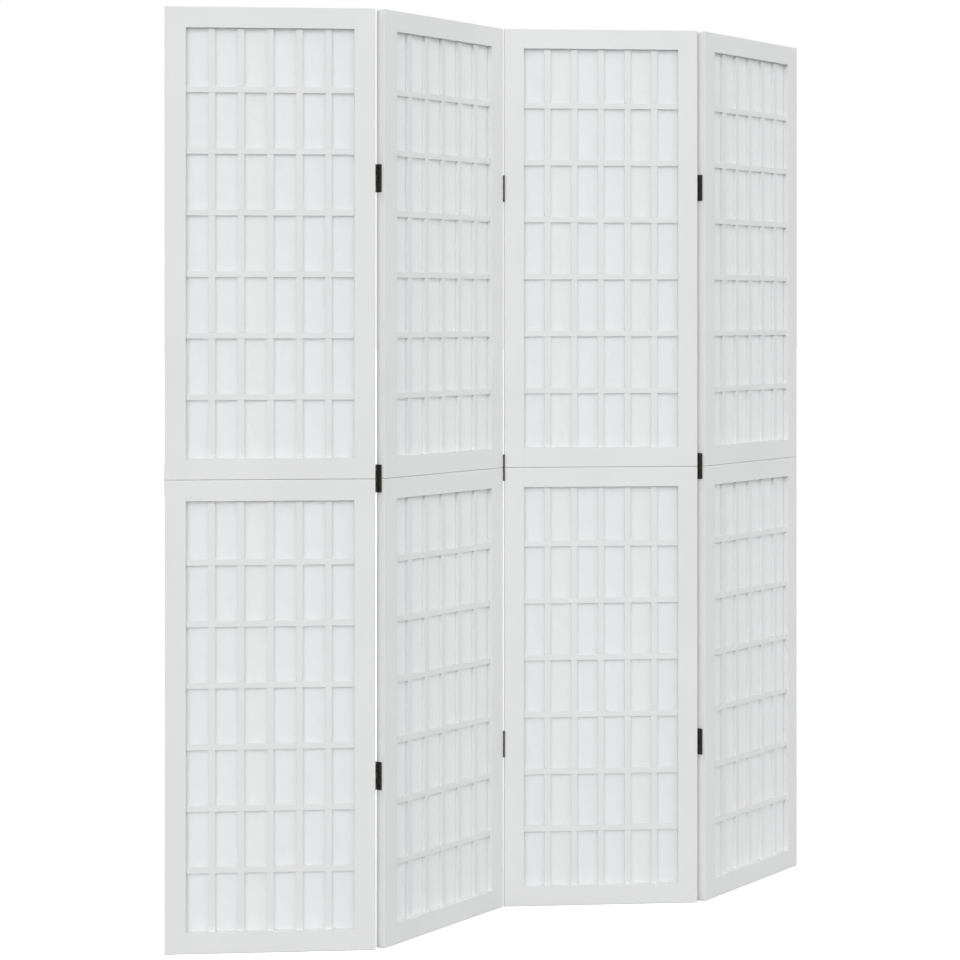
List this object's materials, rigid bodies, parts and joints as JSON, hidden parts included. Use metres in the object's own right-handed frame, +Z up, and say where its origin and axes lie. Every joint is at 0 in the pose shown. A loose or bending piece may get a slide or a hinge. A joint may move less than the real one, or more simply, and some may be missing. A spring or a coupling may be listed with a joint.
{
  "type": "folding partition screen",
  "caption": "Folding partition screen of white wooden lattice wings backed with paper, which stand in a zigzag on butt hinges.",
  "frame": {"origin": "on the floor, under the middle of the screen's box as it stands partly folded", "axes": "+Z up, +X along the row of wings, the front with the open lattice faces -Y"},
  "size_m": [1.4934, 0.185, 1.8],
  "materials": {
    "frame_wood": "satin white paint",
    "lattice_wood": "satin white paint",
    "paper": "matte, lets light through",
    "hinge_metal": "satin black",
    "plate_metal": "satin off-white"
  },
  "bodies": {
    "wing_1": {"wing_1_lower_stiles": "frame_wood", "wing_1_lower_rails": "frame_wood", "wing_1_lower_uprights": "lattice_wood", "wing_1_lower_slats": "lattice_wood", "wing_1_lower_paper": "paper", "wing_1_lower_beads": "frame_wood", "wing_1_upper_stiles": "frame_wood", "wing_1_upper_rails": "frame_wood", "wing_1_upper_uprights": "lattice_wood", "wing_1_upper_slats": "lattice_wood", "wing_1_upper_paper": "paper", "wing_1_upper_beads": "frame_wood", "left_joining_plate": "plate_metal", "fold_1_left_leaves": "hinge_metal", "fold_1_pins": "hinge_metal"},
    "wing_2": {"wing_2_lower_stiles": "frame_wood", "wing_2_lower_rails": "frame_wood", "wing_2_lower_uprights": "lattice_wood", "wing_2_lower_slats": "lattice_wood", "wing_2_lower_paper": "paper", "wing_2_lower_beads": "frame_wood", "wing_2_upper_stiles": "frame_wood", "wing_2_upper_rails": "frame_wood", "wing_2_upper_uprights": "lattice_wood", "wing_2_upper_slats": "lattice_wood", "wing_2_upper_paper": "paper", "wing_2_upper_beads": "frame_wood", "fold_1_right_leaves": "hinge_metal", "fold_2_left_leaves": "hinge_metal", "fold_2_pins": "hinge_metal"},
    "wing_3": {"wing_3_lower_stiles": "frame_wood", "wing_3_lower_rails": "frame_wood", "wing_3_lower_uprights": "lattice_wood", "wing_3_lower_slats": "lattice_wood", "wing_3_lower_paper": "paper", "wing_3_lower_beads": "frame_wood", "wing_3_upper_stiles": "frame_wood", "wing_3_upper_rails": "frame_wood", "wing_3_upper_uprights": "lattice_wood", "wing_3_upper_slats": "lattice_wood", "wing_3_upper_paper": "paper", "wing_3_upper_beads": "frame_wood", "fold_2_right_leaves": "hinge_metal", "fold_3_left_leaves": "hinge_metal", "fold_3_pins": "hinge_metal"},
    "wing_4": {"wing_4_lower_stiles": "frame_wood", "wing_4_lower_rails": "frame_wood", "wing_4_lower_uprights": "lattice_wood", "wing_4_lower_slats": "lattice_wood", "wing_4_lower_paper": "paper", "wing_4_lower_beads": "frame_wood", "wing_4_upper_stiles": "frame_wood", "wing_4_upper_rails": "frame_wood", "wing_4_upper_uprights": "lattice_wood", "wing_4_upper_slats": "lattice_wood", "wing_4_upper_paper": "paper", "wing_4_upper_beads": "frame_wood", "fold_3_right_leaves": "hinge_metal", "right_joining_plate": "plate_metal"}
  },
  "joints": [
    {"name": "fold_1", "type": "hinge", "parent": "wing_1", "child": "wing_2", "pos_m": [-0.37439, -0.07455, 0.9], "axis": [0, 0, 1], "range_deg": [-49.7, 130.3]},
    {"name": "fold_2", "type": "hinge", "parent": "wing_2", "child": "wing_3", "pos_m": [-0.00039, 0.07455, 0.9], "axis": [0, 0, 1], "range_deg": [-130.3, 49.7]},
    {"name": "fold_3", "type": "hinge", "parent": "wing_3", "child": "wing_4", "pos_m": [0.374, -0.07357, 0.9], "axis": [0, 0, 1], "range_deg": [-49.4, 130.6]}
  ]
}
